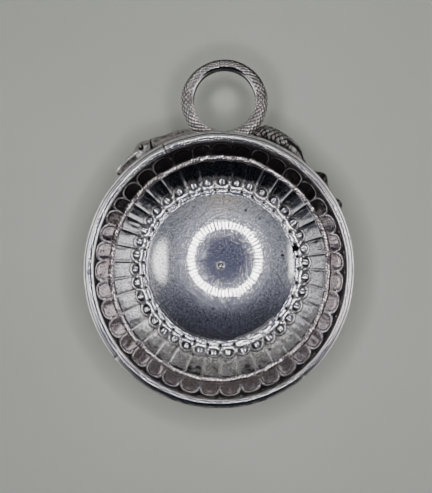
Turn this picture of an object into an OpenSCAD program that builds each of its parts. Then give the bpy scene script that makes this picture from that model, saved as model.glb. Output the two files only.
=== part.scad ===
// Tastevin: a shallow silver wine-tasting cup. A bowl raised from one sheet
// with a domed boss, an applied reeded rim, and a finger ring made as the coil
// of a serpent whose head and tail lie along the wall below the rim.
// Millimetres. +Z is up, the origin is on the bowl's axis in the plane it
// stands on, and +Y points to the finger ring.

/* [Bowl] */
// Height from the table to the top of the rim
bowl_h = 26; // [25:0.5:30]
// Inside radius of the upright lip
lip_r = 38.6; // [37:0.1:42]
// Thickness of the raised sheet
sheet = 1.0; // [0.8:0.05:1.2]
// Radius of the domed boss at its foot
boss_r = 24.3; // [22:0.1:25]
// Rise of the boss above the trough round it
boss_rise = 2.6; // [2:0.1:4]
// Height of the corded band that rings the wall
cord_rise = 0.35; // [0.1:0.05:0.5]
// Height of the beaded line at the foot of the boss
bead_rise = 0.3; // [0.1:0.05:0.5]
// Depth of wear on the ring that the bowl stands on
foot_wear = 0.06; // [0.03:0.01:0.1]

/* [Rim] */
// Width of the reeded moulding
rim_w = 2.12; // [1.9:0.02:2.4]
// How far the moulding overhangs the inside of the lip
rim_overhang = 0.42; // [0.2:0.02:0.6]
// Width of the gap where the moulding's two ends butt
butt_gap = 0.3; // [0.1:0.05:0.6]
// Direction of that gap, in degrees clockwise from the ring seen from above
butt_at = -24.1; // [-40:0.1:-18]

/* [Finger ring] */
// Inside radius of the ring, where the finger goes
ring_in = 9.3; // [8.5:0.1:9.6]
// Outside radius of the ring
ring_out = 13.1; // [12.8:0.1:13.4]
// Half height of the ring
ring_half_h = 2.0; // [1.6:0.1:2.1]
// Distance of the ring's centre from the bowl's axis
ring_y = 50.8; // [50.6:0.1:51.4]
// Sideways offset of the ring's centre
ring_x = 1.56; // [0:0.02:2]
// Height of the ring's middle plane below the top of the rim
ring_drop = 5.0; // [4.8:0.1:6]

/* [Serpent] */
// Greatest thickness of the head, measured off the wall
head_thick = 5.2; // [4:0.1:6]
// Half width of the head up and down the wall
head_half_w = 2.6; // [2:0.1:2.7]
// Greatest thickness of the tail, measured off the wall
tail_thick = 4.7; // [4:0.1:5.5]
// Half width of the tail at its thickest
tail_half_w = 2.2; // [1.8:0.1:2.3]
// Thickness of the solder bed under the head and the tail
bed = 0.2; // [0.1:0.05:0.3]

/* [Hidden] */
$fn = 128;
silver = [0.74, 0.73, 0.71];
old_silver = [0.60, 0.58, 0.56];
solder = [0.66, 0.66, 0.66];

// ---- bowl profile, as radius and height ----
trough_z = sheet - foot_wear;
trough_r = boss_r + 0.6;
lip_foot = bowl_h - 3.6;
lip_top = bowl_h - 1.4;
boss_R = (boss_r * boss_r + boss_rise * boss_rise) / (2 * boss_rise);
boss_c = trough_z + boss_rise - boss_R;
boss_a = asin(boss_r / boss_R);

// the wall is two Beziers: a knee from the level trough, then the side up to
// the foot of the lip
b0 = [trough_r, trough_z];
knee = b0 + [4.5, 1.36];
knee_u = [cos(51), sin(51)];
b3 = [lip_r, lip_foot];
knee_c = [b0, b0 + [2.8, 0], knee - 1.5 * knee_u, knee];
side_c = [knee, knee + 5.0 * knee_u, b3 - [1.3, 8.5], b3];
function cubic(c, t) = pow(1 - t, 3) * c[0] + 3 * pow(1 - t, 2) * t * c[1]
  + 3 * (1 - t) * t * t * c[2] + pow(t, 3) * c[3];
function cubic_d(c, t) = 3 * pow(1 - t, 2) * (c[1] - c[0])
  + 6 * (1 - t) * t * (c[2] - c[1]) + 3 * t * t * (c[3] - c[2]);
// t runs from 0 to 1 over the knee and from 1 to 2 up the side
function bez(t) = t < 1 ? cubic(knee_c, t) : cubic(side_c, t - 1);
function bez_d(t) = t < 1 ? cubic_d(knee_c, t) : cubic_d(side_c, t - 1);
function bez_n(t) = let (d = bez_d(t)) [-d[1], d[0]] / norm(d);

// raised rings on the inside: height of the relief along the wall
function bump(t, mid, half) = abs(t - mid) >= half ? 0 : 1 - pow((t - mid) / half, 2);
function relief(t) = cord_rise * bump(t, 1.476, 0.06) + bead_rise * bump(t, 0.07, 0.11);

wall_n = 72;
boss_n = 24;
inner = concat(
  [for (i = [0:boss_n]) let (a = boss_a * i / boss_n) [boss_R * sin(a), boss_c + boss_R * cos(a)]],
  [for (i = [0:wall_n]) let (t = 2 * i / wall_n) bez(t) + bez_n(t) * relief(t)]
);
foot_in = boss_r - 0.1;
foot_out = trough_r + 0.5;
outer_wall = [for (i = [0:36]) let (t = 2 * i / 36, p = bez(t) - bez_n(t) * sheet) if (p[1] > 0.06 && p[0] > foot_out) p];
under_boss = [for (i = [0:boss_n - 1]) let (a = boss_a * i / boss_n) [(boss_R - sheet) * sin(a), boss_c + (boss_R - sheet) * cos(a)]];
function flip(v) = [for (i = [len(v) - 1:-1:0]) v[i]];
bowl_section = concat(
  inner,
  [[lip_r, lip_top], [lip_r + sheet, lip_top], [lip_r + sheet, lip_foot]],
  flip(outer_wall),
  [[foot_out, 0], [foot_in, 0]],
  flip(under_boss)
);

// outside of the wall: radius at a height, and its slope there
wall_tab = concat([for (p = outer_wall) [p[1], p[0]]], [[lip_foot, lip_r + sheet], [lip_top, lip_r + sheet]]);
function wall_r(z) = lookup(z, wall_tab);
function wall_th(z) = atan2(1.6, wall_r(z + 0.8) - wall_r(z - 0.8));

// a point off the wall: clockwise angle from +Y, height, distance off the wall
function off_wall(a, z, h) = let (th = wall_th(z), r = wall_r(z) + h * sin(th))
  [r * sin(a), r * cos(a), z - h * cos(th)];

// smooth steps through a list of [angle, value]
function ease(v, a, i = 0) = a <= v[0][0] ? v[0][1]
  : i >= len(v) - 1 ? v[len(v) - 1][1]
  : a <= v[i + 1][0] ? let (u = (a - v[i][0]) / (v[i + 1][0] - v[i][0]))
      v[i][1] + (v[i + 1][1] - v[i][1]) * (1 - cos(180 * u)) / 2
  : ease(v, a, i + 1);

// ---- a body laid along the wall: sections across a path on the wall ----
// zk, wk, hk are the height, half width and thickness against the angle
front = 12;
function section(a, zk, wk, hk, lo, flat) =
  let (z = ease(zk, a), w = ease(wk, a), h = ease(hk, a), th = wall_th(z), r = wall_r(z),
       ds = r * PI / 180 * 0.5, dv = (ease(zk, a + 0.25) - ease(zk, a - 0.25)) / sin(th),
       n = norm([ds, dv]), ts = ds / n, tv = dv / n)
  concat(
    [for (k = [0:front]) let (f = 180 * k / front, u = w * cos(f), e = flat ? h * min(1, 3 * sin(f)) : h * pow(sin(f), 0.8))
      off_wall(a - tv * u / r * 180 / PI, z + ts * u * sin(th), lo + e)],
    [for (k = [1:3]) let (u = -w + w * k / 2)
      off_wall(a - tv * u / r * 180 / PI, z + ts * u * sin(th), lo)]
  );
module laid(a0, a1, n, zk, wk, hk, lo, flat = false) {
  m = front + 4;
  rings = [for (i = [0:n]) section(a0 + (a1 - a0) * i / n, zk, wk, hk, lo, flat)];
  pts = [for (r = rings) each r];
  mid0 = len(pts);
  function mean(v) = [for (c = [0:2]) [for (p = v) p[c]] * [for (p = v) 1] / len(v)];
  all = concat(pts, [mean(rings[0]), mean(rings[n])]);
  sides = [for (i = [0:n - 1], k = [0:m - 1]) let (a = i * m + k, b = i * m + (k + 1) % m, c = a + m, d = b + m) each [[a, c, b], [b, c, d]]];
  caps = concat([for (k = [0:m - 1]) [k, (k + 1) % m, mid0]], [for (k = [0:m - 1]) [n * m + (k + 1) % m, n * m + k, mid0 + 1]]);
  faces = concat(sides, caps);
  polyhedron(points = all, faces = a1 > a0 ? [for (f = faces) [f[2], f[1], f[0]]] : faces, convexity = 8);
}

// ---- serpent: height on the wall, half width and thickness along it ----
zs = bowl_h - 26;
head_z = [[-36, 20.0 + zs], [-28, 20.1 + zs], [-10.5, 20.6 + zs]];
head_w = [[-36, 0.62 * head_half_w], [-33, 0.92 * head_half_w], [-30, head_half_w], [-22, 0.72 * head_half_w], [-10.5, 0.64 * head_half_w]];
head_h = [[-36, 0.74 * head_thick], [-33.5, head_thick], [-29, 0.96 * head_thick], [-20, 0.7 * head_thick], [-10.5, 0.44 * head_thick]];
tail_z = [[13.4, 20.6 + zs], [25, 20.3 + zs], [41.5, 16.9 + zs], [48.7, 20.0 + zs], [55.6, 17.3 + zs], [61.6, 19.6 + zs], [67.4, 17.9 + zs], [74, 18.7 + zs]];
tail_w = [[13.4, 0.7 * tail_half_w], [19, tail_half_w], [30, 0.86 * tail_half_w], [41.5, 0.64 * tail_half_w], [55.6, 0.48 * tail_half_w], [74, 0.2 * tail_half_w]];
tail_h = [[13.4, 0.42 * tail_thick], [18.5, tail_thick], [26, 0.94 * tail_thick], [41.5, 0.78 * tail_thick], [48.7, 0.68 * tail_thick], [61.6, 0.54 * tail_thick], [74, 0.18 * tail_thick]];
wider = 0.3;
function plus(v, d) = [for (p = v) [p[0], p[1] + d]];

// ---- ring ----
ring_z = bowl_h - ring_drop;
ring_c = (ring_out + ring_in) / 2 - 0.3;
ring_a = ring_out - ring_c;
ring_land = acos((ring_in - ring_c) / ring_a);
ring_section = [for (i = [0:40]) let (f = -ring_land + 2 * ring_land * i / 40) [ring_c + ring_a * cos(f), ring_half_h * sin(f)]];

module ring_body() translate([ring_x, ring_y, ring_z]) rotate_extrude() polygon(ring_section);
// the room that the wall takes, a hair larger than the wall
module wall_room(gap) rotate_extrude() polygon(concat([[0, bowl_h - 10]], [for (i = [0:8]) let (z = bowl_h - 10 + i) [wall_r(z) + gap, z]], [[0, bowl_h - 2]]));

// ---- sub-parts ----
module bowl() color(silver) rotate_extrude() polygon(bowl_section);

// valleys and heights of the three reeds, from the inside out
rim_in = lip_r - rim_overhang;
rim_r = rim_in + rim_w;
reed_r = [rim_in, rim_in + 0.43 * rim_w, rim_in + 0.72 * rim_w, rim_r];
reed_z = [bowl_h - 0.65, bowl_h - 0.45, bowl_h - 0.8, bowl_h - 1.4];
reed_h = [0.55, 0.35, 0.38];
skirt = bowl_h - 2.4;
rim_section = concat(
  [[rim_in, lip_top]],
  [for (j = [0:2], i = [0:8]) let (u = i / 8)
    if (j == 0 || i > 0) [reed_r[j] + (reed_r[j + 1] - reed_r[j]) * u, reed_z[j] + (reed_z[j + 1] - reed_z[j]) * u + reed_h[j] * sin(180 * u)]],
  [[rim_r - 0.1, skirt], [lip_r + sheet + 0.02, skirt], [lip_r + sheet + 0.02, lip_top]]
);
gap_deg = butt_gap / lip_r * 180 / PI;
module rim_moulding() color(silver) rotate(90 - butt_at + gap_deg / 2) rotate_extrude(angle = 360 - gap_deg) polygon(rim_section);

seam_r = lip_r + sheet + 0.01;
module rim_solder_seam() color(solder) rotate_extrude()
  polygon([[seam_r, skirt - 0.01], [rim_r - 0.2, skirt - 0.01], [seam_r + 0.18, skirt - 0.25], [seam_r, skirt - 0.6]]);

// the coil, filed hollow where it seats on the wall
module finger_ring() color(old_silver) difference() { ring_body(); wall_room(0.02); }

// two wedges of solder in the corners between the coil and the wall
module wedge(a) intersection() {
  linear_extrude(2.6) difference() {
    polygon([[0, 0], 46 * [sin(a - 3.2), cos(a - 3.2)], 46 * [sin(a + 3.2), cos(a + 3.2)]]);
    translate([ring_x, ring_y]) circle(ring_out + 0.02);
  }
  cylinder(h = 3, r = rim_r + 0.6);
}
module ring_solder_fillets() color(solder) difference() {
  translate([0, 0, ring_z - 1.3]) { wedge(9.9); wedge(-7.0); }
  wall_room(0.02);
}

module serpent_head() color(old_silver) union() {
  laid(-36, -10.5, 34, head_z, head_w, head_h, bed + 0.02);
  translate([0, 0, 18.6 + zs]) linear_extrude(2.2) polygon([
    for (p = [[-34, 41.2], [-37.4, 41.3], [-42, 41.6], [-47.6, 42.0], [-48.6, 42.4], [-48.4, 43.3], [-47.4, 43.7], [-42, 43.0], [-37.4, 42.7], [-34, 42.9]])
      (p[1] + lip_r - 38.6) * [sin(p[0]), cos(p[0])]]);
}
module head_solder_bed() color(solder) laid(-36.2, -10.4, 30, head_z, plus(head_w, wider), [[-36, bed], [-10, bed]], 0.01, true);

module serpent_tail() color(old_silver) laid(13.4, 74, 90, tail_z, tail_w, tail_h, bed + 0.02);
module tail_solder_bed() color(solder) laid(13.3, 74.2, 90, tail_z, plus(tail_w, wider), [[13, bed], [75, bed]], 0.01, true);

bowl();
rim_moulding();
rim_solder_seam();
finger_ring();
ring_solder_fillets();
serpent_head();
head_solder_bed();
serpent_tail();
tail_solder_bed();
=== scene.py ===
import math

import bpy
import numpy as np
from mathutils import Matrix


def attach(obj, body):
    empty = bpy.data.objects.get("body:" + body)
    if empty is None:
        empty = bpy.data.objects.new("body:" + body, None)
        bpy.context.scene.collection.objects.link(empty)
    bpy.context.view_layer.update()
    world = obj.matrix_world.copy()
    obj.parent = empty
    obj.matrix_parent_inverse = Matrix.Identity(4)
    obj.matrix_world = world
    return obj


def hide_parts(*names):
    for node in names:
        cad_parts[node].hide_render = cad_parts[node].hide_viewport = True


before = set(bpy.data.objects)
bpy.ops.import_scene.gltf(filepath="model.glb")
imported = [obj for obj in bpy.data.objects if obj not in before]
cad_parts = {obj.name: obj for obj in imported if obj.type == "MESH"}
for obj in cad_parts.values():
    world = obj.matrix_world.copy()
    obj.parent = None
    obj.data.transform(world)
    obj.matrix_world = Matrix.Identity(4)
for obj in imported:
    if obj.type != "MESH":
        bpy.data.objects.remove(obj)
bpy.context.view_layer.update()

MM = 0.001
PI = math.pi
RAD = PI / 180.0
rng = np.random.default_rng(19)

# ------------------------------------------------------------------ dimensions
# All in millimetres, the same as the construction model.
SHEET, WEAR = 1.0, 0.06
BOSS_R, BOSS_RISE = 24.3, 2.6
TOP = 26.0
LIP_R = 38.6
TROUGH_Z, TROUGH_R = SHEET - WEAR, BOSS_R + 0.6
LIP_FOOT, LIP_TOP = TOP - 3.6, TOP - 1.4
BIG_R = (BOSS_R**2 + BOSS_RISE**2) / (2 * BOSS_RISE)
BOSS_C = TROUGH_Z + BOSS_RISE - BIG_R
BOSS_A = math.asin(BOSS_R / BIG_R)
RING_X, RING_Y, RING_Z = 1.56, 50.8, TOP - 5.0
RING_IN, RING_OUT, RING_HALF = 9.3, 13.1, 2.0
BUTT_AT, BUTT_GAP = -24.1, 0.42


def smooth(a, b, x):
    t = np.clip((np.asarray(x, float) - a) / (b - a), 0, 1)
    return t * t * (3 - 2 * t)


def waves(th, s, seed, n=9, turns=(2, 40), per_mm=0.5):
    """Slow hand-made unevenness over the clockwise angle th (degrees) and a length s (mm), about -1 to 1."""
    g = np.random.default_rng(seed)
    out = 0
    for _ in range(n):
        k = int(g.integers(*turns))
        out = out + np.sin(k * th * RAD + g.uniform(-per_mm, per_mm) * s * 2 * PI + g.uniform(0, 2 * PI))
    return out / math.sqrt(n)


# ------------------------------------------------------------------ bowl profile
B0 = np.array([TROUGH_R, TROUGH_Z])
KNEE = B0 + [4.5, 1.36]
KNEE_U = np.array([math.cos(51 * RAD), math.sin(51 * RAD)])
B3 = np.array([LIP_R, LIP_FOOT])


def cubic(c, n):
    t = np.linspace(0, 1, n)[:, None]
    p = (1 - t) ** 3 * c[0] + 3 * (1 - t) ** 2 * t * c[1] + 3 * (1 - t) * t**2 * c[2] + t**3 * c[3]
    d = 3 * (1 - t) ** 2 * (c[1] - c[0]) + 6 * (1 - t) * t * (c[2] - c[1]) + 3 * t**2 * (c[3] - c[2])
    return p, d


_p1, _d1 = cubic([B0, B0 + [2.8, 0], KNEE - 1.5 * KNEE_U, KNEE], 2001)
_p2, _d2 = cubic([KNEE, KNEE + 5.0 * KNEE_U, B3 - [1.3, 8.5], B3], 2001)
_p, _d = np.vstack([_p1[:-1], _p2]), np.vstack([_d1[:-1], _d2])
_d /= np.linalg.norm(_d, axis=1)[:, None]
_s = np.r_[0, np.cumsum(np.linalg.norm(np.diff(_p, axis=0), axis=1))]
S_FOOT = float(_s[-1])
S_LIP = S_FOOT + (LIP_TOP - LIP_FOOT)


def inside(s):
    """Radius, height and upward normal of the plain inside at distance s (mm) up the wall; negative s is on the boss."""
    s = np.asarray(s, float)
    r = np.interp(s, _s, _p[:, 0])
    z = np.interp(s, _s, _p[:, 1])
    nr = -np.interp(s, _s, _d[:, 1])
    nz = np.interp(s, _s, _d[:, 0])
    lip = s > S_FOOT
    r = np.where(lip, LIP_R, r)
    z = np.where(lip, LIP_FOOT + s - S_FOOT, z)
    nr = np.where(lip, -1.0, nr)
    nz = np.where(lip, 0.0, nz)
    flat = (s < 0) & (s >= -0.6)
    r = np.where(flat, TROUGH_R + s, r)
    f = BOSS_A - np.maximum(-0.6 - s, 0) / BIG_R
    dome = s < -0.6
    r = np.where(dome, BIG_R * np.sin(f), r)
    z = np.where(dome, BOSS_C + BIG_R * np.cos(f), z)
    nr = np.where(dome, np.sin(f), nr)
    nz = np.where(dome, np.cos(f), nz)
    # the normal turns over the corner at the foot of the boss instead of jumping
    near = (s > -1.4) & (s < 0.0)
    a = np.arctan2(nr, nz)
    a = np.where(near, BOSS_A * (1 - smooth(-1.4, 0.0, s)), a)
    return r, z, np.sin(a), np.cos(a)


# radius as it looks from above, at the scale of the rim: the chasing is laid out in it
LOOK_H, LOOK_D = 261.0, 235.0
_look = np.r_[_p[:, 0] * LOOK_D / (LOOK_H - _p[:, 1]), LIP_R * LOOK_D / (LOOK_H - LIP_TOP)]
_look_s = np.r_[_s, S_LIP]


def look(s):
    r, z = inside(s)[:2]
    return r * LOOK_D / (LOOK_H - z)


def s_at(a):
    return np.interp(a, _look, _look_s)


_out = _p + SHEET * np.c_[_d[:, 1], -_d[:, 0]]
_ok = _out[:, 1] > 0.3


def wall_r(z):
    """Outside radius of the plain wall at height z."""
    return np.interp(z, np.r_[_out[_ok, 1], LIP_FOOT, LIP_TOP], np.r_[_out[_ok, 0], LIP_R + SHEET, LIP_R + SHEET])


def wall_th(z):
    return np.arctan2(1.6, wall_r(z + 0.8) - wall_r(z - 0.8))


# hand-raised: the mouth is a little oval, and its edge not quite true
def hand(p):
    r = np.hypot(p[:, 0], p[:, 1])
    th = np.arctan2(p[:, 0], p[:, 1])
    up = (0.35 + 0.65 * smooth(0, 10, p[:, 2])) * np.clip(r / 38, 0, 1.08)
    k = 0.0102 * np.cos(2 * th) + 0.0012 * np.sin(3 * th + 0.6) + 0.0008 * np.sin(5 * th + 2.0)
    q = p.copy()
    q[:, 0] *= 1 + k * up
    q[:, 1] *= 1 + k * up
    q[:, 2] += 0.10 * np.sin(2 * th + 0.9) * smooth(16, 26, p[:, 2]) * np.clip(r / 38, 0, 1)
    return q


# ------------------------------------------------------------------ mesh helpers
def mesh_object(name, verts, quads=(), tris=(), attrs=None, sharp=None):
    quads = np.asarray(quads, np.int32).reshape(-1, 4)
    tris = np.asarray(tris, np.int32).reshape(-1, 3)
    me = bpy.data.meshes.new(name)
    me.vertices.add(len(verts))
    me.vertices.foreach_set("co", (np.asarray(verts, float) * MM).astype(np.float32).ravel())
    me.loops.add(quads.size + tris.size)
    me.loops.foreach_set("vertex_index", np.concatenate([quads.ravel(), tris.ravel()]))
    me.polygons.add(len(quads) + len(tris))
    start = np.concatenate([np.arange(len(quads)) * 4, quads.size + np.arange(len(tris)) * 3])
    me.polygons.foreach_set("loop_start", start.astype(np.int32))
    me.polygons.foreach_set("use_smooth", np.ones(len(start), bool))
    me.update(calc_edges=True)
    for key, val in {"hazy": 1.0, **(attrs or {})}.items():
        a = me.attributes.new(key, "FLOAT", "POINT")
        a.data.foreach_set("value", np.broadcast_to(np.asarray(val, float), (len(verts),)).astype(np.float32).copy())
    if sharp:
        me.set_sharp_from_angle(angle=sharp * RAD)
    ob = bpy.data.objects.new(name, me)
    bpy.context.scene.collection.objects.link(ob)
    return ob


def join_rows(a, b, flip):
    """Faces between two closed rows of vertex numbers, where one may have a whole multiple of the other's count. Returns quads, tris."""
    if len(a) == len(b):
        a2, b2 = np.roll(a, -1), np.roll(b, -1)
        q = np.stack([a, a2, b2, b] if flip else [a, b, b2, a2], 1)
        return q, np.zeros((0, 3), int)
    if len(a) < len(b):
        q, t = join_rows(b, a, not flip)
        return q, t
    k = len(a) // len(b)
    f = a.reshape(len(b), k)
    nxt = np.roll(a, -1).reshape(len(b), k)
    c0, c1 = b, np.roll(b, -1)
    t = []
    half = (k + 1) // 2
    for i in range(k):
        c = c0 if i < half else c1
        t.append(np.stack([f[:, i], nxt[:, i], c] if flip else [f[:, i], c, nxt[:, i]], 1))
    m = nxt[:, half - 1]
    t.append(np.stack([m, c1, c0] if flip else [m, c0, c1], 1))
    return np.zeros((0, 4), int), np.concatenate(t)


def grid_faces(n, m, closed_n=False, closed_m=True):
    """Quads of an n by m grid of vertices."""
    i = np.arange(n if closed_n else n - 1)
    j = np.arange(m if closed_m else m - 1)
    I, J = np.meshgrid(i, j, indexing="ij")
    I2, J2 = (I + 1) % n, (J + 1) % m
    return np.stack([I * m + J, I2 * m + J, I2 * m + J2, I * m + J2], -1).reshape(-1, 4)


def cap_fan(first, m, centre, flip):
    j = np.arange(m)
    a, b = first + j, first + (j + 1) % m
    c = np.full(m, centre)
    return np.stack([b, a, c] if flip else [a, b, c], 1)


def polar(r, th, z):
    """Points from radius, clockwise angle from +Y in degrees, and height."""
    r, th, z = np.broadcast_arrays(r, th, z)
    return np.stack([r * np.sin(th * RAD), r * np.cos(th * RAD), z], -1)


# ------------------------------------------------------------------ chased ornament
# directions of the ridges between the flutes, clockwise from the ring, as hand-chased
RIDGE = np.array([
    6.0, 15.6, 24.2, 33.6, 43.1, 53.4, 62.8, 72.5, 81.9, 91.2, 101.4, 111.9, 121.8, 131.2, 141.0, 150.2, 159.9, 169.8, 180.0,
    189.5, 199.1, 208.4, 217.2, 226.3, 235.4, 245.3, 255.0, 264.2, 274.0, 283.3, 292.0, 299.5, 306.8, 316.3, 326.0, 336.5, 346.5, 355.9])
NF = len(RIDGE)
PER = 32
_u = np.arange(PER) / PER
_u = _u - 0.32 * np.sin(2 * PI * _u) / (2 * PI)
_next = np.r_[RIDGE[1:], RIDGE[0] + 360]
TH = (RIDGE[:, None] + (_next - RIDGE)[:, None] * _u[None, :]).ravel()
JIT = rng.uniform(-1, 1, (NF, 14))

# one bead to each ridge on the line round the boss; three stand off it where the line runs wide
BEAD_TH, BEAD_A = RIDGE.copy(), np.full(NF, 23.06)
for _k, _t in ((14, 137.7), (15, 147.6), (16, 157.5)):
    BEAD_TH[_k], BEAD_A[_k] = _t, 22.70

ROPE_S, ROPE_LOW = float(s_at(33.30)), 1.95
# section of the rope, from its upper contact with the wall round to its lower one: inward, up
ROPE_SEC = np.array([(-0.16, 0.16), (0.01, 0.03), (0.10, 0.06), (0.28, 0.068), (0.49, 0.07), (0.72, 0.07), (0.95, 0.066), (1.13, 0.04), (1.25, -0.05), (1.32, -0.25),
                     (1.31, -0.55), (1.22, -0.95), (1.08, -1.35), (0.95, -1.72)])


def rope_at(th):
    """How far up the wall the middle of the rope lies."""
    return ROPE_S + 0.40 * waves(th, 0, 11, 6, (2, 14), 0) + 0.12 * waves(th, 0, 12, 6, (20, 60), 0)


def flute_of(th):
    """Number of the flute that an angle is in, its middle and its half width in degrees."""
    t = (np.asarray(th) - RIDGE[0]) % 360 + RIDGE[0]
    i = np.clip(np.searchsorted(RIDGE, t + 1e-9, side="right") - 1, 0, NF - 1)
    return i, t, (RIDGE[i] + _next[i]) / 2, (_next[i] - RIDGE[i]) / 2


def relief(s, th):
    """Height of the chasing over the plain inside, how dark it is there (tarnish in the hollows, painted shade and
    painted dark reflections) and how matt it is, at distances s and angles th.
    """
    A = look(s)
    i, t, mid, hw = flute_of(th)
    x = (t - mid) * RAD * A
    w = hw * RAD * A
    e = np.maximum(w - np.abs(x), 0)
    off = np.where(x < 0, e, -e)  # from the nearest ridge, clockwise
    side = np.where(x < 0, i, (i + 1) % NF)
    j = [JIT[i, k] for k in range(7)]
    b = [JIT[side, k] for k in range(7, 13)]
    top = np.exp(-((((t + 180) % 360 - 180) / 60) ** 2))

    # flutes: shallow hollows, with the fine bands that planishing leaves
    flute = smooth(26.1, 26.7, A) * (1 - smooth(31.9, 32.2, A))
    d = flute * ((-0.17 + 0.04 * j[0]) * (1 - (x / w) ** 2) + 0.030 * waves(t, s, 5, 9, (10, 120), 0.10) + 0.008 * waves(t, s, 6, 9, (4, 60), 0.48))
    # painted shade on the flutes: darker away from the ring and towards the rope, lighter at the two sides and at their
    # inner ends, left clear near the ring
    turned = np.abs((t + 180) % 360 - 180)
    level = np.abs(np.sin(t * RAD)) ** 3
    dark = flute * (0.43 + 0.09 * smooth(110, 150, turned) + 0.09 * smooth(27.6, 31.2, A) + 0.07 * j[3] - 0.38 * (1 - smooth(26.6, 28.8, A))) * (1 - 0.9 * top) * (1 - 0.50 * level * (1 - smooth(29.0, 31.4, A)))
    matt = 0.07 * flute
    # painted shade: a dark line beside each ridge
    ridge_shade = np.exp(-(((off - 0.60) / 0.14) ** 2)) * flute
    dark = np.maximum(dark, (0.62 + 0.2 * b[0]) * ridge_shade)

    # the rope's inner shadow line
    low = np.exp(-(((A - (31.86 + 0.05 * j[1])) / 0.24) ** 2))
    d -= 0.10 * low
    dark = np.maximum(dark, 0.97 * low)

    # border round the boss: a level ledge, with a pearl in an eye-shaped cell at the end of each flute
    r, z, nr, nz = inside(s)
    brow = 25.2 + 1.12 * np.sqrt(np.clip(1 - (x / (0.97 * w)) ** 2, 0, 1)) + 0.06 * j[1]
    lean = np.tan((-2.6 - 2.0 * np.cos(t * RAD) - 1.0 * np.sin(t * RAD)) * RAD)
    ledge = 0.95 + (np.maximum(r, 25.3) - 26.0) * lean
    ledge = 0.94 + (ledge - 0.94) * np.where(r < 25.3, smooth(24.3, 25.3, r), 1.0)
    d -= (z - ledge) * nz * (1 - smooth(brow + 0.08, brow + 0.55, A)) * (s > -0.6)
    edge = 22.98 + 0.76 * (smooth(128, 136, t) - smooth(165, 173, t))
    on_ledge = (1 - smooth(brow, brow + 0.2, A)) * smooth(edge - 0.1, edge + 0.3, A)
    dark = np.maximum(dark, 0.20 * on_ledge)
    matt = np.maximum(matt, 0.60 * on_ledge)
    cell = np.hypot(x / (0.84 * w), (A - 25.2) / 1.12)
    q = np.hypot(x - 0.08 * j[2], A - (25.24 + 0.06 * j[3])) / (0.68 + 0.05 * j[0])
    hollow = (1 - smooth(0.90, 1.02, cell)) * on_ledge
    d -= 0.05 * hollow
    dark = np.maximum(dark, 0.70 * hollow)
    lid = np.exp(-(((cell - 1.08) / 0.10) ** 2)) * (0.30 + 0.70 * smooth(24.9, 25.7, A)) * smooth(23.6, 24.2, A) * (A < brow + 0.3)
    d += 0.055 * lid
    dark = dark * (1 - np.clip(1.2 * lid, 0, 1))
    matt = np.maximum(matt, lid)
    pearl = q < 1
    d = np.where(pearl, d + 0.05 * hollow + (0.080 + 0.008 * j[4]) * (1 - np.clip(q, 0, 1) ** 1.1), d)
    # a dark ring at the pearl's foot, and a painted dark reflection on its top
    dark = np.where(pearl, 0.45 * smooth(0.92, 1.0, q) + 0.70 * np.exp(-((q / 0.22) ** 2)), dark)
    matt = np.where(pearl, 0.7, matt)

    # ridges, each splayed into two feet with a drop between them
    splay = 0.36 * smooth(25.7, 24.5, A)
    sig = 0.32 - 0.15 * smooth(26.2, 25.2, A) + 0.02 * b[2]
    amp = (0.205 + 0.02 * b[3]) * (1 - 0.45 * smooth(26.4, 25.4, A)) * smooth(24.15, 24.50, A) * (1 - smooth(31.9, 32.3, A)) * (1 - 0.5 * top * smooth(26.2, 27.5, A))
    ridge = amp * np.exp(-(((e - splay) / sig) ** 2))
    d += ridge
    # ridges rubbed bright, except near the ring where painted shade stays on them
    clean = np.clip(ridge / (0.6 * np.maximum(amp, 0.02)), 0, 1) * (1 - 0.8 * top * smooth(26.2, 27.5, A))
    dark = dark * (1 - clean)
    matt = np.maximum(matt, 0.8 * clean)
    q = np.hypot(off - 0.05 * b[4], (A - (24.36 + 0.06 * b[0])) * 0.85) / 0.50
    d = np.where(q < 1, d + 0.060 * (1 - np.clip(q, 0, 1) ** 1.1), d)
    # painted dark reflection on the top of each foot bulb
    dark = np.where(q < 1, 0.95 * np.exp(-((q / 0.46) ** 4)), dark)
    matt = np.where(q < 1, 1.0, matt)

    # the line, and the beads
    a = A - edge - 0.04 * j[1]
    line = np.where(a < 0.34, np.clip((a + 0.46) / 0.80, 0, 1), np.clip(1 - (a - 0.34) / 0.14, 0, 1))
    tall = 0.205 - 0.025 * np.cos(t * RAD)
    d += tall * line
    on_line = smooth(-0.50, -0.36, a) * (1 - smooth(0.34, 0.46, a))
    dark = dark * (1 - on_line)
    matt = np.where(on_line > 0.5, 1.0, matt)
    near = np.abs((t[:, None] - BEAD_TH[None, :] + 180) % 360 - 180).argmin(1)
    q = np.hypot(((t - BEAD_TH[near] + 180) % 360 - 180) * RAD * A, A - BEAD_A[near] - 0.05 * JIT[near, 5]) / (0.84 + 0.05 * JIT[near, 6])
    d = np.where(q < 1, d - tall * line + np.maximum(tall * line, 0.12 + 0.105 * (1 - np.clip(q, 0, 1) ** 1.1)) * smooth(1.0, 0.86, q) + tall * line * smooth(0.86, 1.0, q), d)
    # painted dark reflection on the top of each bead on the line, then a dark ring round the beads' feet
    dark = np.where(q < 1, np.exp(-((q / 0.60) ** 4)) * (BEAD_A[near] > 22.9), dark)
    dark = np.maximum(dark, 0.70 * np.exp(-(((q - 1.14) / 0.12) ** 2)) * smooth(edge, edge + 0.3, A))
    matt = np.where(q < 1, 1.0, matt)

    # painted shade on the flat ground inside the stretch where the line runs wide
    wide = smooth(128, 136, t) - smooth(165, 173, t)
    wide_ground_shade = 0.50 * wide * (1 - smooth(22.55, 22.85, A)) * (q > 1)
    dark = np.maximum(dark, wide_ground_shade)

    # painted shade: dark lines on both sides of the rope, and dark under it
    up = s - rope_at(t)
    dark = np.maximum(dark, 0.50 * np.exp(-(((up - 0.25) / 0.22) ** 2)))
    dark = np.where((up < 0.05) & (up > -ROPE_LOW - 0.1), 0.9, dark)

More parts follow.
